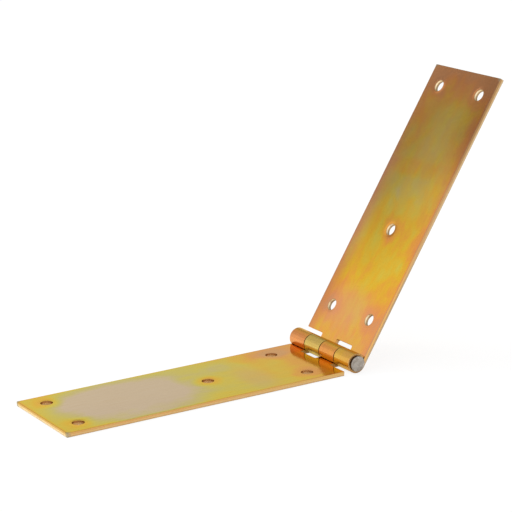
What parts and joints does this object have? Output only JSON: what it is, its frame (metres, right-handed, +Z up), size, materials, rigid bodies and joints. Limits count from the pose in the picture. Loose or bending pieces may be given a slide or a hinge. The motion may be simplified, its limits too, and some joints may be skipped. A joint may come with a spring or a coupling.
{
  "type": "door hinge",
  "caption": "Butt hinge with two long, narrow sheet-steel leaves, rolled knuckles on a riveted pin, and plain round screw holes.",
  "frame": {"origin": "centre of the fixed leaf's four corner screw holes, on its back face. The pin's axis runs along Y at x = 77.75 mm, z = 4.55 mm.", "axes": "+X along the fixed leaf towards the pin; Y along the pin; +Z up, out of the fixed leaf's inner face"},
  "size_m": [0.2277, 0.0522, 0.1248],
  "materials": {
    "yellow_zinc_steel": "zinc plated and yellow passivated, iridescent",
    "pin_steel": "plain drawn steel, dull"
  },
  "bodies": {
    "fixed": {"fixed_leaf": "yellow_zinc_steel", "hinge_pin": "pin_steel"},
    "moving": {"moving_leaf": "yellow_zinc_steel"}
  },
  "joints": [
    {"name": "leaf_swing", "type": "hinge", "parent": "fixed", "child": "moving", "pos_m": [0.07775, 0, 0.00455], "axis": [0, 1, 0], "range_deg": [-123, 165]}
  ]
}
